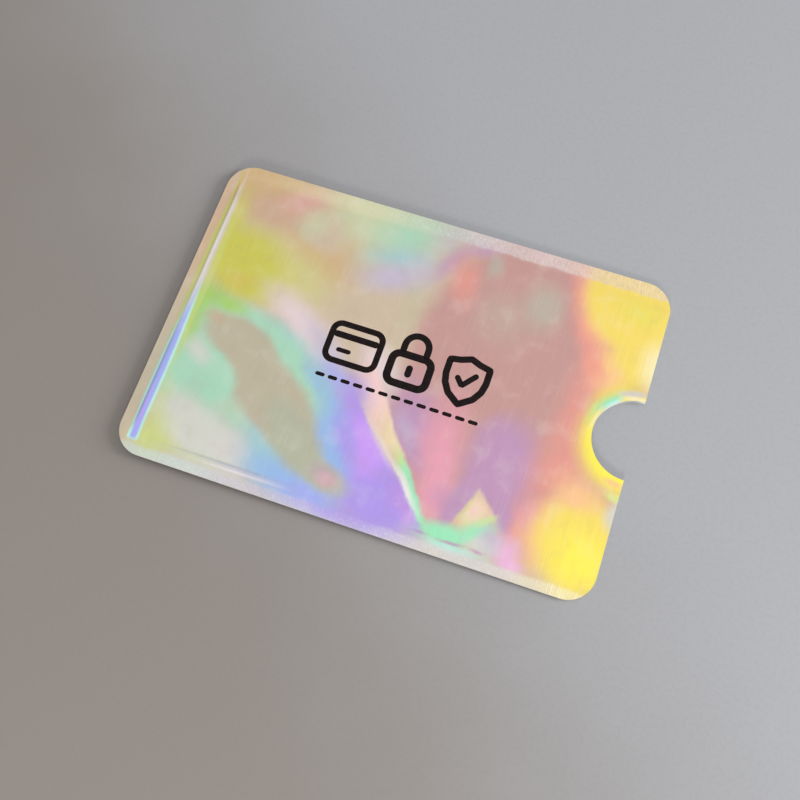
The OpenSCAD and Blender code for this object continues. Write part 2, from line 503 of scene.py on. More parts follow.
def ribbon(path, width, closed):
    """Points and faces of one inked stroke, laid on the front panel; an open one has round ends."""
    line = resample(path, closed)
    ahead = np.roll(line, -1, axis=0) - np.roll(line, 1, axis=0)
    half = np.full(len(line), width / 2)
    if not closed:
        ahead[0], ahead[-1] = line[1] - line[0], line[-1] - line[-2]
    ahead /= np.hypot(*ahead.T)[:, None]
    if not closed:
        cap = width / 2 * (1 - np.cos(cap_turns))
        reach = width / 2 * np.sin(cap_turns)
        head = line[0] - ahead[0] * (width / 2 - cap)[:, None]
        tail = line[-1] + ahead[-1] * (width / 2 - cap[::-1])[:, None]
        line = np.concatenate([head, line, tail])
        before, after = [np.tile(ahead[end], (len(cap), 1)) for end in (0, -1)]
        ahead = np.concatenate([before, ahead, after])
        half = np.concatenate([reach, half, reach[::-1]])
    sideways = np.stack([-ahead[:, 1], ahead[:, 0]], axis=1)
    flat = line[:, None] + sideways[:, None] * (half[:, None] * ribbon_shares)[..., None]
    along, across = flat.reshape(-1, 2).T
    across = across - sleeve_wid / 2
    raised = np.tile(np.abs(ribbon_shares) < 1, len(line))
    film = front_height(along, across) + film_top
    top = in_frame(along, across, film + ink_rise * raised)
    low = in_frame(along, across, film - ink_sink)
    grid = np.arange(len(along)).reshape(len(line), -1)
    here, there = (grid, np.roll(grid, -1, axis=0)) if closed else (grid[:-1], grid[1:])
    corners = [here[:, :-1], there[:, :-1], there[:, 1:], here[:, 1:]]
    return closed_sheet(top, low, np.stack(corners, axis=-1).reshape(-1, 4).tolist())


def shifted(centre, offsets):
    """A path from its points' offsets round a centre."""
    return [(centre[0] + dx, centre[1] + dy) for dx, dy in offsets]


def arc(centre, radius, start, stop, count=24):
    """Points on an arc, in degrees."""
    turns = [math.radians(turn) for turn in np.linspace(start, stop, count)]
    return shifted(centre, [(radius * math.cos(t), radius * math.sin(t)) for t in turns])


def round_box(centre, wide, tall, radius):
    """The outline of a box with round corners."""
    x, y = wide / 2 - radius, tall / 2 - radius
    path = []
    for dx, dy, start in ((x, y, 0), (-x, y, 90), (-x, -y, 180), (x, -y, 270)):
        path += arc((centre[0] + dx, centre[1] + dy), radius, start, start + 90, count=8)
    return path


# %% [markdown]
# The three signs are drawn with bold strokes, about a millimetre and a quarter wide, and the row
# of bars below with a finer one. They fill the same part of the panel that a maker would print.

# %% The printed signs: path, stroke width, closed
card_at = (36.2, 32.6)
lock_at = (47.6, 31.2)
shield_at = (58.2, 32.6)
shackle_r = 2.3
shield_outline = [
    (0, 4.6), (1.9, 3.9), (3.9, 3.5), (3.9, 0.6), (3.5, -1.2), (2.4, -3.0),
    (0, -4.7), (-2.4, -3.0), (-3.5, -1.2), (-3.9, 0.6), (-3.9, 3.5), (-1.9, 3.9),
]
check_mark = [(-1.5, 0.3), (-0.4, -1.0), (1.7, 1.5)]
bar_row = 25.4
bar_half = 0.55
bar_w = 0.75

shackle = [(shackle_r, 3.9), *arc((0, 4.9), shackle_r, 0, 180), (-shackle_r, 3.9)]
strokes = [
    (round_box(card_at, 9.8, 7.6, 1.6), 1.2, True),
    (shifted(card_at, [(-3.9, 1.5), (3.9, 1.5)]), 1.3, False),
    (shifted(card_at, [(-2.6, -1.5), (-0.6, -1.5)]), 0.9, False),
    (round_box(lock_at, 7.6, 6.0, 1.5), 1.5, True),
    (shifted(lock_at, [(0, 0.5), (0, -0.7)]), 1.3, False),
    (shifted(lock_at, shackle), 1.3, False),
    (shifted(shield_at, shield_outline), 1.3, True),
    (shifted(shield_at, check_mark), 1.1, False),
]
for bar_x in spaced(32.0, 62.0, 2.5):
    strokes.append((shifted((bar_x, bar_row), [(-bar_half, 0), (bar_half, 0)]), bar_w, False))

ink_points, ink_faces = [], []
for path, width, closed in strokes:
    points, faces = ribbon(path, width, closed)
    first = sum(len(group) for group in ink_points)
    ink_points.append(points)
    ink_faces += [[n + first for n in face] for face in faces]

ink_mesh = smooth_mesh("front_print_ink", np.concatenate(ink_points), ink_faces)
ink = link(bpy.data.objects.new("front_print_ink", ink_mesh), "printed_ink")
print("inked strokes:", len(strokes), "faces:", len(ink_mesh.polygons))

# %% [markdown]
# The materials are node trees, made by a small helper that adds a node and fills its sockets.
# An effect that more than one material needs is a node group: it is built once, has named
# sockets, and gives out only colours, masks, values or normals.

# %% Helpers for node trees
def fill_in(tree, node, values):
    """Sets a node's sockets, or links those whose value is a socket; in0 is a socket's number."""
    for key, value in values.items():
        by_number = key.startswith("in") and key[2:].isdigit()
        socket = node.inputs[int(key[2:]) if by_number else key.replace("_", " ")]
        if isinstance(value, bpy.types.NodeSocket):
            tree.links.new(value, socket)
        else:
            socket.default_value = value
    return node


def add(tree, kind, settings=None, **values):
    """A new node with its settings and its socket values."""
    node = tree.nodes.new("ShaderNode" + kind)
    for key, value in (settings or {}).items():
        setattr(node, key, value)
    return fill_in(tree, node, values)


def math_node(tree, operation, first, second=0.0, third=0.0):
    """One sum, as a socket."""
    node = add(tree, "Math", {"operation": operation}, in0=first, in1=second, in2=third)
    return node.outputs["Value"]


def vector_node(tree, operation, first, second):
    """One sum of vectors, as a socket."""
    node = add(tree, "VectorMath", {"operation": operation}, in0=first, in1=second)
    return node.outputs["Vector"]


def mix_colours(tree, mask, under, over):
    """Over laid on under, by a mask, as a socket."""
    node = add(tree, "Mix", {"data_type": "RGBA"}, Factor=mask, A=under, B=over)
    return node.outputs["Result"]


def new_group(name, inputs, outputs):
    """An empty node group with named sockets; returns its tree, its inputs and its end."""
    tree = bpy.data.node_groups.new(name, "ShaderNodeTree")
    for way, sockets in (("INPUT", inputs), ("OUTPUT", outputs)):
        for socket_name, kind in sockets.items():
            tree.interface.new_socket(socket_name, in_out=way, socket_type="NodeSocket" + kind)
    start = tree.nodes.new("NodeGroupInput")
    end = tree.nodes.new("NodeGroupOutput")
    return tree, start.outputs, end.inputs


def use_group(tree, group, **values):
    """A group placed in a tree with its own values; returns its outputs."""
    return add(tree, "Group", {"node_tree": group}, **values).outputs


def srgb(red, green, blue):
    """A colour as seen on a screen, 0 to 255, to the linear values that Blender mixes."""
    linear = []
    for part in (red, green, blue):
        share = part / 255
        linear.append(share / 12.92 if share <= 0.04045 else ((share + 0.055) / 1.055) ** 2.4)
    return (*linear, 1.0)


def new_material(name, **sockets):
    """A material with its Principled shader; returns the material, its tree and the shader."""
    material = bpy.data.materials.new(name)
    material.use_nodes = True
    tree = material.node_tree
    return material, tree, fill_in(tree, tree.nodes["Principled BSDF"], sockets)


print("a mid grey in linear values:", round(srgb(128, 128, 128)[0], 3))

# %% [markdown]
# Colours on the sleeve are placed in its own flat measures, in millimetres, not by where the
# camera stands, so they stay put in every view. The first group turns the object's coordinates
# into those measures. The second bends them a little with noise, so that no colour patch keeps a
# drawn outline: pressed rainbow film breaks its colours along tiny waves in the film. Each push
# of the noise has its own stretch, amount, detail and direction.

# %% Groups for place: flat measures, and the same with a ripple
to_millimetres = (1 / MM, 1 / MM, 0.0)
place_tree, _, place_out = new_group("sleeve place", {}, {"Place": "Vector"})
object_place = add(place_tree, "TexCoord").outputs["Object"]
scaled = vector_node(place_tree, "MULTIPLY", object_place, to_millimetres)
moved = vector_node(place_tree, "ADD", scaled, (sleeve_len / 2, sleeve_wid / 2, 0.0))
place_tree.links.new(moved, place_out["Place"])

ripple_tree, ripple_in, ripple_out = new_group(
    "film ripple",
    {"Place": "Vector", "Broad": "Float", "Fine": "Float", "Hairs": "Float"},
    {"Place": "Vector"},
)


def stretched_noise(tree, place, stretch, **values):
    """Noise with its grain stretched along the axes; returns its outputs."""
    where = vector_node(tree, "MULTIPLY", place, stretch)
    return add(tree, "TexNoise", Vector=where, Scale=1.0, **values).outputs


def noise_push(tree, place, stretch, amount, detail, direction):
    """A push by noise, up to about half the amount each way."""
    noise = stretched_noise(tree, place, stretch, Detail=detail)["Color"]
    centred = vector_node(tree, "SUBTRACT", noise, (0.5, 0.5, 0.5))
    scaled = add(tree, "VectorMath", {"operation": "SCALE"}, in0=centred, Scale=amount)
    return vector_node(tree, "MULTIPLY", scaled.outputs["Vector"], direction)


plane = (1.0, 1.0, 0.0)
pushed = ripple_in["Place"]
for stretch, amount, detail, direction in (
    ((0.12, 0.12, 1.0), ripple_in["Broad"], 1.0, plane),
    ((0.4, 0.4, 1.0), ripple_in["Fine"], 3.0, plane),
    ((4.5, 0.35, 1.0), ripple_in["Hairs"], 1.0, (0.15, 1.0, 0.0)),
):
    push = noise_push(ripple_tree, ripple_in["Place"], stretch, amount, detail, direction)
    pushed = vector_node(ripple_tree, "ADD", pushed, push)
ripple_tree.links.new(pushed, ripple_out["Place"])
print("place groups ready")

# %% [markdown]
# Rainbow film splits light by the tilt of each spot, so a bent panel shows soft pools of colour
# with sharper fringes along its folds. A true grating would change with every view and be lost in
# an export. The pools are laid as soft ovals of colour instead, from the lowest wash to the
# brightest fringe, each with its own softness. This group is one such oval, as a mask.

# %% Group for one soft oval
def soft_step(tree, value, start, stop, high=1.0):
    """0 before start and high after stop."""
    smooth = {"interpolation_type": "SMOOTHSTEP"}
    node = add(tree, "MapRange", smooth, Value=value, From_Min=start, From_Max=stop, To_Max=high)
    return node.outputs["Result"]


def seen_from(tree, place, centre, turn, reach=(1.0, 1.0, 1.0)):
    """The place as seen from a turned and stretched spot of its own."""
    own = {"vector_type": "TEXTURE"}
    node = add(tree, "Mapping", own, Vector=place, Location=centre, Rotation=turn, Scale=reach)
    return node.outputs["Vector"]


where = ("Place", "Centre", "Turn", "Reach")
oval_sockets = {**dict.fromkeys(where, "Vector"), "Softness": "Float", "Strength": "Float"}
oval_tree, oval_in, oval_out = new_group("soft oval", oval_sockets, {"Mask": "Float"})
oval_place = seen_from(oval_tree, *[oval_in[key] for key in where])
ball = {"gradient_type": "SPHERICAL"}
inward = add(oval_tree, "TexGradient", ball, Vector=oval_place).outputs["Fac"]
oval_mask = soft_step(oval_tree, inward, 0.0, oval_in["Softness"], oval_in["Strength"])
oval_tree.links.new(oval_mask, oval_out["Mask"])

# %% Group for a straight edge, which cuts an oval off along a fold
edge_soft = 0.5
edge_tree, edge_in, edge_out = new_group(
    "straight edge", {"Place": "Vector", "Point": "Vector", "Turn": "Vector"}, {"Mask": "Float"}
)
edge_place = seen_from(edge_tree, edge_in["Place"], edge_in["Point"], edge_in["Turn"])
past_edge = add(edge_tree, "SeparateXYZ", Vector=edge_place).outputs["Y"]
edge_tree.links.new(soft_step(edge_tree, past_edge, -edge_soft, edge_soft), edge_out["Mask"])


def lay_oval(
    tree, place, under, tone, u, v, reach_u, reach_v, turn=0, softness=1, strength=1, cut=None
):
    """One soft oval of colour over what is under it, cut off where a fold says so."""
    angle = math.radians(turn)
    turned = {"Place": place, "Turn": (0.0, 0.0, angle)}
    shape = {"Centre": (u, v, 0.0), "Reach": (reach_u, reach_v, 1.0)}
    look = {"Softness": softness, "Strength": strength}
    mask = use_group(tree, oval_tree, **turned, **shape, **look)["Mask"]
    if cut is not None:
        point = (u - cut * math.sin(angle), v + cut * math.cos(angle), 0.0)
        edge = use_group(tree, edge_tree, Point=point, **turned)
        mask = math_node(tree, "MULTIPLY", mask, edge["Mask"])
    return mix_colours(tree, mask, under, srgb(*palette[tone]))


print("soft oval group sockets:", [socket.name for socket in oval_in if socket.name])

# %% [markdown]
# The seals look paler than the pocket, because the crimped ribs scatter the rainbow. The first
# group marks them: a band that sits a little low on the sleeve, and fades towards the upper left.
# The second gives the film its fine skin: a leathery crinkle and faint rolling lines across the
# web, both far too small for the mesh. The third speckles the seals with painted ticks: dull
# ones of painted shade and bright ones of painted glint, where the crimped ribs shadow and catch
# the light.

# %% Groups for the seals and the film's fine skin
band_low_by = 0.45
band_from, band_full = pocket_half + 0.35, pocket_half + 1.15
fade_slant = -0.6
fade_from, fade_full, fade_most = 30, 56, 0.8
seal_tree, seal_in, seal_out = new_group("seal margin", {"Place": "Vector"}, {"Mask": "Float"})
parts = add(seal_tree, "SeparateXYZ", Vector=seal_in["Place"]).outputs
from_middle = math_node(seal_tree, "SUBTRACT", parts["Y"], sleeve_wid / 2 - band_low_by)
from_middle = math_node(seal_tree, "ABSOLUTE", from_middle)
in_side = soft_step(seal_tree, from_middle, band_from, band_full)
to_left_top = math_node(seal_tree, "MULTIPLY_ADD", parts["X"], fade_slant, parts["Y"])
lost = soft_step(seal_tree, to_left_top, fade_from, fade_full, fade_most)
kept = math_node(seal_tree, "MULTIPLY", in_side, math_node(seal_tree, "SUBTRACT", 1.0, lost))
seal_tree.links.new(kept, seal_out["Mask"])

skin_tree, skin_in, skin_out = new_group(
    "film skin",
    {"Place": "Vector", "Crinkle": "Float", "Lines": "Float"},
    {"Height": "Float", "Mottle": "Float"},
)
crinkle = add(skin_tree, "TexNoise", Vector=skin_in["Place"], Scale=0.85, Detail=4.0)
rolled = stretched_noise(skin_tree, skin_in["Place"], (3.2, 0.12, 1.0), Detail=3.0)["Fac"]
crinkle_h = math_node(skin_tree, "MULTIPLY", crinkle.outputs["Fac"], skin_in["Crinkle"])
lines_h = math_node(skin_tree, "MULTIPLY", rolled, skin_in["Lines"])
skin_tree.links.new(math_node(skin_tree, "ADD", crinkle_h, lines_h), skin_out["Height"])
skin_tree.links.new(rolled, skin_out["Mottle"])

tick_tree, tick_in, tick_out = new_group(
    "crimp ticks", {"Place": "Vector"}, {"Mask": "Float", "Glint": "Float"}
)
tick_parts = add(tick_tree, "SeparateXYZ", Vector=tick_in["Place"]).outputs
for mark, stretch, start, stop in (
    ("Mask", (3.4, 0.7, 1.0), 0.45, 0.62),
    ("Glint", (4.2, 1.6, 1.0), 0.54, 0.7),
):
    noise = stretched_noise(tick_tree, tick_in["Place"], stretch, Detail=2.0, Roughness=0.7)
    ticks = soft_step(tick_tree, noise["Fac"], start, stop)
    if mark == "Mask":
        # the dull ticks of painted shade grow stronger towards the mouth and towards the upper edge
        for axis, faint, full, least in (("X", 20, 60, 0.3), ("Y", 10, 50, 0.25)):
            fade = soft_step(tick_tree, tick_parts[axis], faint, full, 1 - least)
            fade = math_node(tick_tree, "ADD", fade, least)
            ticks = math_node(tick_tree, "MULTIPLY", ticks, fade)
    tick_tree.links.new(ticks, tick_out[mark])
print("skin, seal and tick groups ready")

# %% [markdown]
# The front film's colours, from a named palette. The washes come first and cover the panel; then
# the pools that the dents make, the fringes round them, and last the bright fold, the bead and
# the rim of the notch. They are placed one by one against the photograph. A row
# gives the tone, the place along and up from the lower edge, the reaches along and up, the turn,
# the softness and the strength, and last, for the few that a fold ends, how far off it is cut.
# A turn of 0 and a softness or strength of 1 are left out where nothing follows them.

# %% The palette, and the ovals of the front film and of the seals
palette = {
    # soft tones of the left half
    "tan": (211, 180, 134), "blush": (222, 171, 162), "clay": (205, 173, 147),
    "sand": (209, 190, 166), "dune": (198, 193, 160), "straw": (213, 207, 142),
    "gold": (207, 204, 88), "amber": (214, 194, 96), "leaf": (170, 212, 104),
    "sage": (206, 213, 174), "mint": (172, 219, 192), "aqua": (166, 206, 212),
    "sky": (154, 188, 236), "periwinkle": (168, 178, 244), "pearl": (214, 215, 206),
    "petal": (232, 214, 216), "lilac": (198, 190, 214), "khaki": (192, 184, 160),
    "stone": (184, 187, 164),
    # the violet pool and the fold
    "violet": (206, 160, 250), "iris": (177, 154, 238), "plum": (192, 150, 228),
    "shell": (246, 208, 204), "biscuit": (238, 214, 176), "lime": (208, 232, 148),
    "spring": (158, 234, 190), "ice": (190, 244, 234), "white": (242, 238, 234),
    "silver": (214, 208, 200), "pear": (208, 218, 138), "slate": (150, 160, 178),
    # warm tones of the right half
    "rose": (200, 155, 149), "greige": (191, 178, 165), "mauve": (194, 152, 188),
    "pink": (236, 164, 182), "orchid": (240, 186, 226), "coral": (240, 156, 142),
    "salmon": (230, 156, 144), "peach": (250, 196, 146), "sun": (246, 220, 106),
    "lemon": (255, 241, 88), "cream": (251, 239, 184), "brass": (236, 222, 98),
}
front_ovals = [
    # washes
    ("tan", 6, 60, 26, 15, 0, 0.9),
    ("sage", 31, 60, 15, 14, -20, 0.9),
    ("mint", 39, 57.4, 12, 8, 20, 1, 0.9),
    ("lilac", 47, 59, 6, 6, 0, 1, 0.4),
    ("mint", 6, 19, 16, 14, -20, 0.9),
    ("pearl", 15.5, 7.5, 16, 8, -14, 0.6),
    # right field
    ("rose", 71, 36, 27, 36, 0, 0.18),
    ("rose", 60, 22, 17, 20, -42, 0.5),
    ("mauve", 48.6, 55, 9.5, 2.8, 58, 1, 0.75),
    ("mauve", 53.5, 59.4, 5.4, 2.8, 14, 1, 0.7),
    ("salmon", 52, 52, 4.6, 9, 12, 1, 0.8),
    ("salmon", 52, 53, 3.4, 4.4, 8, 1, 0.4),
    ("greige", 56.8, 57, 2.8, 4.6, 10, 0.9, 0.9),
    ("greige", 68, 51.6, 6, 8, 5, 0.9),
    ("greige", 61, 47, 9, 9, 0, 1, 0.5),
    ("salmon", 79.5, 34, 5.5, 18, 0, 1, 0.9),
    ("mauve", 52, 22, 7.4, 14, 36, 0.9),
    ("pink", 58.2, 18, 7, 17, 6),
    ("pink", 59.6, 10.5, 4.6, 7.5, 14, 0.9, 0.9),
    ("mauve", 60.4, 10.8, 3.4, 4, 14, 1, 0.5),
    ("mauve", 69.4, 18.4, 9, 13.5, -6, 0.6),
    ("mauve", 66, 24, 5, 7, -20, 0.9, 0.7),
    ("coral", 74.8, 9, 3.4, 5, 0, 1, 0.7),
    # right corners
    ("coral", 77, 52, 4.6, 17, 24, 0.9),
    ("coral", 81, 42, 3.6, 7, 10, 1, 0.8),
    ("salmon", 79.2, 22, 8, 15, -10),
    ("peach", 84, 42, 6, 10, 20, 0.9),
    ("peach", 88.5, 59.8, 17.6, 16, 22, 0.3, 0.9),
    ("sun", 88.5, 60.2, 15.9, 14, 26, 0.24),
    ("brass", 86, 56, 7, 4.5, -12, 1, 0.9),
    ("sun", 87, 46, 7, 9, 14, 0.8),
    ("peach", 83.4, 43, 3.6, 5, 24, 1, 0.5),
    ("coral", 80.6, 43.2, 2.8, 4.6, 36, 1, 0.7),
    ("cream", 91.4, 46, 5, 8, 8, 0.9),
    ("peach", 80.8, 10, 7.2, 11, -16, 0.8),
    ("peach", 84, 19, 8, 6, -25, 1, 0.8),
    ("sun", 86.6, 9.6, 10.4, 11.6, 8, 0.5),
    ("lemon", 87.4, 7.4, 9.0, 9.0, 0, 0.9, 0.9),
    ("peach", 83.6, 17.6, 6, 3.4, -10, 1, 0.9),
    ("pink", 76, 12.4, 4, 5, 0, 1, 0.5),
    ("pearl", 91.4, 17, 3.4, 5, 5, 0.9, 0.9),
    ("lime", 90, 20.2, 3, 1.6, -10, 0.9),
    # foot of the fold
    ("biscuit", 67.2, 9.6, 6, 6.6, 0, 0.8),
    ("lime", 68, 7.4, 4.4, 3, 0, 1, 0.6),
    ("mauve", 65.4, 10.4, 8, 5, 65, 0.5, 1.0, 0),
    ("mauve", 69.6, 11.6, 7, 5, -47, 0.5, 1.0, 0),
    ("straw", 65.6, 10.2, 5, 0.8, 65, 1, 0.8),
    ("spring", 63.4, 4.2, 8.8, 3.0, 4, 0.8),
    ("pearl", 70.6, 4.8, 5.6, 4.8, 0, 0.9),
    ("spring", 68.6, 6.4, 6, 2.4, 38, 0.9, 0.9),
    ("lime", 70, 8.8, 3.4, 1.0, 44, 1, 0.8),
    ("shell", 67.4, 9.6, 2.6, 3.4, -10, 1, 0.6),
    ("lilac", 71.6, 6, 3.6, 4.6, 20, 1, 0.7),
    ("ice", 65, 2.1, 10, 1.3, 0, 1, 0.8),
    ("mauve", 59, 3.1, 2.2, 0.5, 0, 1, 0.8),
    ("mauve", 65, 3.1, 3.4, 0.5, 2, 0.8, 0.8),
    ("mauve", 70, 3.0, 2.2, 0.5, -3, 1, 0.8),
    ("orchid", 75, 4.4, 3.6, 5.8, 14, 1, 0.8),
    ("orchid", 76, 2.6, 4, 1.6, 0, 1, 0.9),
    # the fold, kept to the left of its right edge
    ("mauve", 51.8, 18.4, 10, 2.8, 127, 1, 0.8),
    ("lilac", 50.6, 20.6, 6, 3, 127, 1, 0.4),
    ("petal", 42, 30, 9, 5, 126.6),
    ("petal", 47.6, 17.6, 12, 3.4, 130, 1, 1.0, 0),
    ("shell", 45.2, 24.6, 11.5, 6, 126.6, 0.7, 1.0, 0),
    ("biscuit", 48.6, 20, 7, 5, 126.6, 1, 0.9, 0),
    ("cream", 50.2, 17.8, 5.5, 5, 126.6, 0.9, 0.5, 0),
    ("lime", 52.8, 14.3, 5.6, 3, 126.6, 1, 1.0, 0),
    ("spring", 55.2, 11.2, 6.5, 3.0, 126.6, 0.7, 1.0, 0),
    ("spring", 57.9, 7.5, 4.4, 3.2, 126.6, 0.6, 1.0, 0),
    # a painted highlight along the fold's crease
    ("white", 54, 10.1, 7.8, 1.4, 132, 0.9, 0.9, -1.1),
    # violet, kept to the left of the fold's left edge
    ("iris", 49.5, 13.6, 17, 14, 135, 0.4, 1.0, -0.2),
    ("violet", 44.6, 16.9, 10.5, 7.5, 135, 0.9, 1.0, -1.3),
    ("violet", 43.6, 13.6, 8, 6, 135, 0.8, 0.9, -4.4),
    ("orchid", 56.4, 5.4, 3, 3, 135, 1, 0.4, -1.1),
    ("petal", 47.2, 16.2, 8, 1.1, 132, 1, 0.6),
    ("iris", 48.6, 5.4, 10, 4.8, 0, 0.9, 0.9),
    ("iris", 46, 1, 17, 3.6, 0, 0.9, 0.9),
    ("plum", 54.8, 8.3, 6.5, 4.5, 135, 0.9, 0.9, -0.2),
    ("iris", 38.6, 23.6, 7, 5.6, 128, 0.9, 0.8),
    ("aqua", 29.6, 6.6, 12, 7, -24, 0.8),
    ("sky", 33, 4.2, 13, 6, -10, 0.9),
    ("petal", 22, 6.8, 5, 4.4, -20, 1, 0.3),
    ("periwinkle", 38, 2.8, 9, 3.6, 0, 0.9, 0.9),
    # upper left
    ("clay", 11.5, 54.4, 9.5, 6.8, -10),
    ("blush", 16.4, 58.2, 8.4, 5, 20, 1, 0.9),
    ("tan", 23, 47, 13, 5.4, -24, 0.9),
    ("sand", 21.8, 53.6, 7, 6, -50, 0.8),
    ("sage", 20.6, 54.2, 4.4, 6, -20, 1, 0.6),
    ("tan", 20.5, 48.2, 9, 3, -24, 1, 0.7),
    ("tan", 26.6, 47.5, 4.4, 9, -28, 1, 0.7),
    ("straw", 19, 42.8, 15, 9, -22, 0.9),
    ("aqua", 38.6, 52.4, 10.5, 4.4, 12, 1, 0.8),
    ("lilac", 38.6, 48.4, 9.5, 5, 18, 1, 0.9),
    ("dune", 44, 44, 4, 11, -4, 1, 0.6),
    ("lilac", 43.6, 51, 5, 7, 0, 1, 0.5),
    ("gold", 9.4, 42.6, 14.5, 10.8, -20, 0.7),
    ("gold", 13, 38.4, 8, 5.4, -16, 0.9, 0.9),
    ("amber", 10.4, 38.6, 6, 3, 10, 1, 0.7),
    ("gold", 4.6, 50, 3.4, 11, 0, 1, 0.8),
    # lower left
    ("leaf", 6.4, 32, 8, 6.6, -16, 0.8),
    ("leaf", 5, 28, 2.8, 11, 0, 1, 0.9),
    ("pearl", 16, 0, 22, 5, 0, 1, 0.9),
    ("pear", 6, 4.6, 6.6, 7, -20, 0.9, 0.85),
    ("pear", 7.6, 3.6, 7.4, 2.4, 0, 0.9, 0.9),
    ("pear", 5.6, 11, 2.6, 9, 0, 1, 0.4),
    # fringes of the lobe
    ("petal", 24.6, 34.6, 15, 5.4, -30),
    ("lilac", 31.4, 29.4, 11, 4.8, -44, 1, 0.9),
    ("sky", 33, 17.2, 19, 8.2, -52, 0.45),
    ("iris", 40.8, 15, 10, 3.4, -58, 1, 0.9),
    ("aqua", 25, 24, 15, 8.6, -37, 0.45),
    ("petal", 27.4, 30.6, 8, 3, -42, 1, 0.6),
    ("mint", 20, 24.6, 18, 9.4, -28, 0.4),
    ("leaf", 11, 33.2, 6, 3, -6, 1, 0.9),
    ("sky", 31.8, 23.8, 7, 2.8, -50, 1, 0.6),
    ("periwinkle", 35.2, 26, 6, 3, -42, 1, 0.7),
    ("mint", 13.5, 17.5, 12, 7, -36, 0.9, 0.9),
    ("aqua", 25.6, 10.6, 8, 3.6, -28, 1, 0.9),
    ("mint", 20.5, 12.2, 5, 3.4, -28, 1, 0.6),
    ("khaki", 24.6, 18.6, 17.0, 7.1, -38, 0.4),
    ("khaki", 15.2, 27.2, 9.8, 5.2, -16, 0.45),
    ("khaki", 19, 22.6, 7, 6, -40, 0.6),
    ("stone", 31.9, 11.9, 11, 5.4, -42, 0.55),
    ("stone", 38.6, 7.2, 8.4, 3.4, -14, 0.6),
    ("mint", 13.2, 18.6, 6.4, 5, -48, 0.5),
    ("clay", 8.8, 30.2, 3.4, 2.4, -10, 1, 0.7),
    ("pearl", 8.4, 22.6, 5.4, 3.4, -28, 1, 0.9),
    ("mauve", 39.6, 7.2, 5.4, 3.2, -12, 1, 0.5),
    ("pink", 40.2, 6.7, 3.4, 2.4, 0, 1, 0.4),
]
front_lines = [
    # the jaws' edge beside the lower seal; its slate line is painted shade and its white line a
    # painted highlight along the pressed mark
    ("sage", 14, 3.0, 11, 1.7, 0, 1, 0.7),
    ("lilac", 26, 3.1, 11, 1.2, 0, 1, 0.6),
    ("slate", 22, 3.7, 18, 0.4, 0.4, 1, 0.5),
    ("white", 24, 2.8, 13, 0.5, 0.4, 1, 0.6),
    ("cream", 26, 61.4, 26, 2.6, 0, 1, 0.35),
    # closed end
    ("sand", 0.6, 31, 1.8, 60, 0, 0.4, 0.85),
    ("tan", 0.6, 48, 1.8, 18, 0, 0.8, 0.5),
    ("khaki", 0.6, 14, 1.8, 24, 0, 1, 0.6),
    ("blush", 0.8, 49, 1.4, 15, 0, 0.8, 0.25),
    # notch
    ("sun", 91, 30.6, 12.6, 12.6, 0, 0.4, 0.9),
    ("lemon", 91, 30.8, 10.5, 10.5, 0, 0.28),
    ("brass", 85.4, 39.4, 8, 3, 38, 1, 0.6),
    ("lime", 82.6, 34.8, 4.6, 1.6, 70, 1, 0.7),
    ("lime", 84.4, 37.6, 5.2, 1.6, 48, 1, 0.9),
    ("spring", 84.9, 37.4, 4.6, 1.1, 46),
    ("silver", 88.6, 40.1, 4.2, 1.2, 14, 0.9),
    ("ice", 85.3, 37.1, 3.6, 0.8, 46),
    ("cream", 83.1, 33.6, 4, 0.6, 76, 1, 0.9),
    ("cream", 89.4, 39.35, 3.6, 0.8, 8, 0.8),
    ("peach", 89.4, 22.6, 3, 1.0, -8, 0.9, 0.8),
    # bead: the ice, silver and white lines are a painted highlight along its crest and rising side
    ("gold", 2.1, 43, 0.9, 24, 0, 0.9, 0.9),
    ("pear", 2.1, 40, 0.6, 24, 0, 0.9, 0.7),
    ("pear", 4.7, 33, 1.0, 28, 0, 0.8, 0.5),
    ("ice", 3.2, 14, 1.4, 28, 0, 0.3, 1.0, -11.4),
    ("silver", 3.25, 42, 1.0, 21, 0, 0.6, 0.85),
    ("periwinkle", 3.25, 14, 1.0, 25, 0, 0.5, 1.0, -11.2),
    ("violet", 3.2, 8, 0.7, 7, 0, 1, 0.5),
    ("white", 2.95, 43, 0.6, 22, 0, 0.9, 0.85),
]
seal_ovals = [
    ("tan", 0, 62, 44, 6),
    ("sage", 32, 62, 18, 6, 0, 1, 0.8),
    ("mint", 42, 62, 13, 6, 0, 1, 0.7),
    ("lilac", 52, 62, 12, 6, 0, 1, 0.5),
    ("shell", 64, 62, 15, 6, 0, 1, 0.5),
    ("peach", 78, 62, 13, 6, 0, 1, 0.5),
    ("biscuit", 86, 62, 15, 6, 0, 0.9, 0.9),
    ("mint", 8, 1, 22, 5, 0, 1, 0.4),
    ("lilac", 27, 1, 14, 5, 0, 1, 0.7),
    ("iris", 44, 1.8, 18, 3.4, 0, 0.9, 0.8),
    ("cream", 88, 1, 17, 6),
]
print("ovals on the film:", len(front_ovals + front_lines), "in the seals:", len(seal_ovals))

# %% The rainbow film's material, from its lists of ovals
seal_tone = (220, 222, 226)
seal_share = 0.62


def lay_ovals(tree, place, under, some_ovals):
    """A list of ovals, one over the other."""
    for oval in some_ovals:
        under = lay_oval(tree, place, under, *oval)
    return under


def tint(tree, colour, mask, share, tone):
    """A share of one more colour, where a mask allows it."""
    return mix_colours(tree, math_node(tree, "MULTIPLY", mask, share), colour, srgb(*tone))


def dress(tree, shader, skin, colour, rough, bump_by, bump_h):
    """Gives a shader its colour, and a roughness and a bump that follow the film's skin."""
    roughness = add(tree, "MapRange", Value=skin["Mottle"], **rough).outputs["Result"]
    bump = add(tree, "Bump", Strength=bump_by, Distance=bump_h * MM, Height=skin["Height"])
    normal = bump.outputs["Normal"]
    fill_in(tree, shader, {"Base Color": colour, "Roughness": roughness, "Normal": normal})


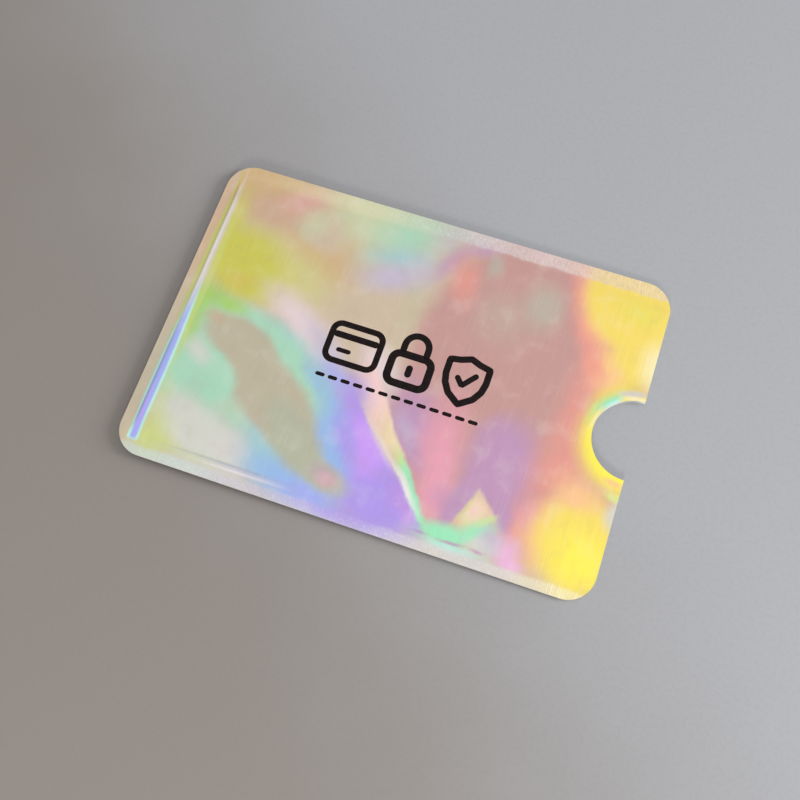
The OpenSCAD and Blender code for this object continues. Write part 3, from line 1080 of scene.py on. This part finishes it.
def film_material(name, pools, lines):
    """Rainbow film: pools bent by the ripple, steady lines, pale seals, painted sheen, shade and
    glints, and a fine skin.
    """
    finish = {"Metallic": 0.65, "Coat_Weight": 0.2, "Coat_Roughness": 0.25}
    material, tree, shader = new_material(name, **finish)
    place = use_group(tree, place_tree)["Place"]
    rippled = use_group(tree, ripple_tree, Place=place, Broad=1.6, Fine=1.0, Hairs=0.35)["Place"]
    wavy = use_group(tree, ripple_tree, Place=place, Broad=0.5, Fine=0.9, Hairs=0.5)["Place"]
    colour = lay_ovals(tree, rippled, srgb(*palette["sand"]), pools)
    colour = lay_ovals(tree, place, colour, lines)
    pale = lay_ovals(tree, place, srgb(*seal_tone), seal_ovals)
    seal = use_group(tree, seal_tree, Place=wavy)["Mask"]
    colour = mix_colours(tree, math_node(tree, "MULTIPLY", seal, seal_share), colour, pale)
    skin = use_group(tree, skin_tree, Place=place, Crinkle=0.5, Lines=0.05)
    cloud = add(tree, "TexNoise", Vector=place, Scale=0.22, Detail=4.0, Distortion=0.2)
    # streaks and clouds that are partly the film's own grain and partly painted sheen and shade,
    # lightening and darkening the colour where its crinkles would catch the light
    for grain, share, bright, dark in (
        (skin["Mottle"], 0.05, (250, 248, 244), (150, 138, 128)),
        (cloud.outputs["Fac"], 0.12, (246, 240, 232), (168, 148, 140)),
    ):
        colour = tint(tree, colour, soft_step(tree, grain, 0.5, 0.75), share, bright)
        colour = tint(tree, colour, soft_step(tree, grain, 0.5, 0.25), share, dark)
    # painted shade and painted glints of the crimped ribs, laid in the seals only
    ticks = use_group(tree, tick_tree, Place=place)
    for mark, share, tone in (("Mask", 0.25, (184, 160, 134)), ("Glint", 0.4, (252, 250, 244))):
        in_seal = math_node(tree, "MULTIPLY", ticks[mark], seal)
        colour = tint(tree, colour, in_seal, share, tone)
    rough = {"From_Min": 0.3, "From_Max": 0.7, "To_Min": 0.36, "To_Max": 0.42}
    dress(tree, shader, skin, colour, rough, bump_by=0.35, bump_h=0.06)
    print(name, "has", len(tree.nodes), "nodes")
    return material


front_film = film_material("front_rainbow_film", front_ovals, front_lines)
panels["front_rainbow_film"].data.materials.append(front_film)

# %% [markdown]
# The back film is the same stuff, with pools of its own. The photograph doesn't show it, so its
# colours are a guess: the same palette, laid in the same diagonal drift, calmer than the front.

# %% Back film
back_ovals = [
    # drift, from the closed end to the mouth
    ("gold", 4, 28, 50, 16, -62),
    ("sage", 13, 34, 50, 16, -60),
    ("mint", 22, 34, 50, 16, -60),
    ("aqua", 29, 32, 50, 14, -58),
    ("sky", 36, 34, 50, 15, -60),
    ("iris", 44, 30, 52, 15, -62),
    ("mauve", 53, 32, 52, 16, -60),
    ("pink", 62, 30, 46, 12, -58),
    ("rose", 70, 34, 50, 14, -64),
    ("coral", 77, 30, 42, 10, -66, 1, 0.8),
    ("peach", 83, 34, 48, 14, -68),
    ("sun", 91, 30, 50, 12, -74),
    # pools
    ("tan", 12, 54, 18, 10, 20, 1, 0.9),
    ("leaf", 9, 24, 20, 6, -50, 1, 0.8),
    ("pearl", 16, 9, 20, 10, -24),
    ("petal", 34, 52, 16, 8, -30, 1, 0.9),
    ("violet", 46, 18, 18, 9, -54, 1, 0.9),
    ("greige", 64, 48, 13, 10, 30, 1, 0.9),
    ("orchid", 74, 9, 12, 8, 0, 1, 0.7),
    ("lemon", 86, 8, 14, 12, 0, 1, 0.9),
    # a fold
    ("shell", 52, 42, 17, 6, -54, 0.9, 0.9, 0),
    ("lime", 48, 48, 10, 4, -54, 1, 0.9, 0),
    ("spring", 45, 52, 8, 3, -54, 1, 1.0, 0),
]
back_lines = [
    ("sun", 91, 31.5, 12.4, 12.4, 0, 0.4, 0.9),
    ("lemon", 91, 31.5, 11, 11, 0, 0.24),
]
back_film = film_material("back_rainbow_film", back_ovals, back_lines)
panels["back_rainbow_film"].data.materials.append(back_film)

# %% [markdown]
# The inner layers show as thin lines at the mouth and in the notch. The foil is bright metal with
# rolling lines, the stiffener is opaque white, and the sealing film and its welds are milky.

# %% Inner layers, welds and ink
def cloudy_material(name, dark, light, size, rough_low, rough_high, bump_by, **sockets):
    """A material whose colour, roughness and height all drift with one grain."""
    material, tree, shader = new_material(name, **sockets)
    place = use_group(tree, place_tree)["Place"]
    skin = use_group(tree, skin_tree, Place=place, Crinkle=0.6, Lines=0.4)
    grain = add(tree, "TexNoise", Vector=place, Scale=1 / size, Detail=4.0).outputs["Fac"]
    mask = soft_step(tree, grain, 0.35, 0.65)
    colour = mix_colours(tree, mask, srgb(*dark), srgb(*light))
    rough = {"To_Min": rough_low, "To_Max": rough_high}
    dress(tree, shader, skin, colour, rough, bump_by, bump_h=0.05)
    return material


# dark tone, light tone, size of the grain, roughness from and to, strength of the bump
foil = cloudy_material(
    "aluminium_foil", (206, 208, 212), (228, 230, 232), 3, 0.22, 0.4, 0.4, Metallic=1.0
)
stiffener = cloudy_material("white_stiffener", (228, 228, 224), (242, 242, 240), 2, 0.4, 0.6, 0.2)
lining = cloudy_material("milky_lining", (200, 203, 205), (222, 224, 225), 4, 0.3, 0.5, 0.3)
weld = cloudy_material("melted_weld", (196, 197, 194), (220, 220, 216), 1.5, 0.35, 0.6, 0.6)
print_ink = cloudy_material(
    "dark_print_ink", (12, 7, 7), (24, 14, 13), 0.8, 0.6, 0.75, 0.3, Specular_IOR_Level=0.12
)

for panel in ("front", "back"):
    panels[f"{panel}_foil_shield"].data.materials.append(foil)
    panels[f"{panel}_stiffener_film"].data.materials.append(stiffener)
    panels[f"{panel}_sealing_film"].data.materials.append(lining)
ink.data.materials.append(print_ink)
for node in ("end_weld", "left_weld", "right_weld"):
    for material_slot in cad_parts[node].material_slots:
        material_slot.material = weld
print("materials:", len(bpy.data.materials))

# %% [markdown]
# The sleeve lies on a plain pale grey table top. Its colour is painted a little darker and browner
# towards its lower left: painted shade, away from the window light.
# The main light is a broad window-like panel from the mouth's side, soft enough that the shadow
# under the raised closed end fades within a few millimetres. A weak lamp stands in front, and an
# even sky fills the rest.

# %% Floor
floor_half = 1200 * MM
floor_turn = 45
painted_shade_until, painted_light_from = -42, 58
drift_wander = 30.0
fleck_share = 0.06
floor_mesh = bpy.data.meshes.new("table_top")
corners = [(x * floor_half, y * floor_half, 0) for x, y in ((-1, -1), (1, -1), (1, 1), (-1, 1))]
floor_mesh.from_pydata(corners, [], [(0, 1, 2, 3)])
floor = bpy.data.objects.new("table_top", floor_mesh)
bpy.context.scene.collection.objects.link(floor)

table_top, tree, shader = new_material("pale_table_top", Roughness=0.6)
object_place = add(tree, "TexCoord").outputs["Object"]
floor_place = vector_node(tree, "MULTIPLY", object_place, to_millimetres)
turned = seen_from(tree, floor_place, (0.0, 0.0, 0.0), (0.0, 0.0, math.radians(floor_turn)))
to_right = add(tree, "SeparateXYZ", Vector=turned).outputs["X"]
grain = add(tree, "TexNoise", Vector=floor_place, Scale=0.03, Detail=5.0).outputs["Fac"]
# painted shade: the table's colour grows darker and browner towards the lower left, away from the
# window light
drift = math_node(tree, "MULTIPLY_ADD", grain, drift_wander, to_right)
pale = soft_step(tree, drift, painted_shade_until, painted_light_from)
colour = mix_colours(tree, pale, srgb(124, 118, 113), srgb(149, 150, 154))
fleck = add(tree, "TexNoise", Vector=floor_place, Scale=1.3, Detail=3.0).outputs["Fac"]
colour = tint(tree, colour, soft_step(tree, fleck, 0.45, 0.65), fleck_share, (100, 98, 96))
bump = add(tree, "Bump", Strength=0.1, Distance=0.1 * MM, Height=fleck)
fill_in(tree, shader, {"Base Color": colour, "Normal": bump.outputs["Normal"]})
floor_mesh.materials.append(table_top)
print("table top:", round(floor_half / MM * 2), "millimetres square")


# %% Light and sky
def area_light(name, spot, size, power, colour):
    """A square soft light, placed in millimetres and aimed at the sleeve."""
    data = bpy.data.lights.new(name, "AREA")
    data.shape = "SQUARE"
    data.size = size * MM
    data.energy = power
    data.color = colour
    lamp = bpy.data.objects.new(name, data)
    lamp.location = Vector(spot) * MM
    lamp.rotation_mode = "QUATERNION"
    lamp.rotation_quaternion = (-Vector(spot)).to_track_quat("-Z", "Y")
    bpy.context.scene.collection.objects.link(lamp)
    return lamp


fill = area_light("front_light", (60, -420, 200), 100, 1.0, (1.0, 0.98, 0.95))
window = area_light("window_light", (840, 230, 330), 420, 11.5, (0.96, 0.985, 1.0))

sky = bpy.data.worlds.new("soft_sky")
sky.use_nodes = True
sky_shine = {"Color": (1.0, 0.985, 0.98, 1.0), "Strength": 0.725}
fill_in(sky.node_tree, sky.node_tree.nodes["Background"], sky_shine)
bpy.context.scene.world = sky
bpy.context.scene.view_settings.view_transform = "Standard"
print("lights:", window.name, fill.name, sky.name)
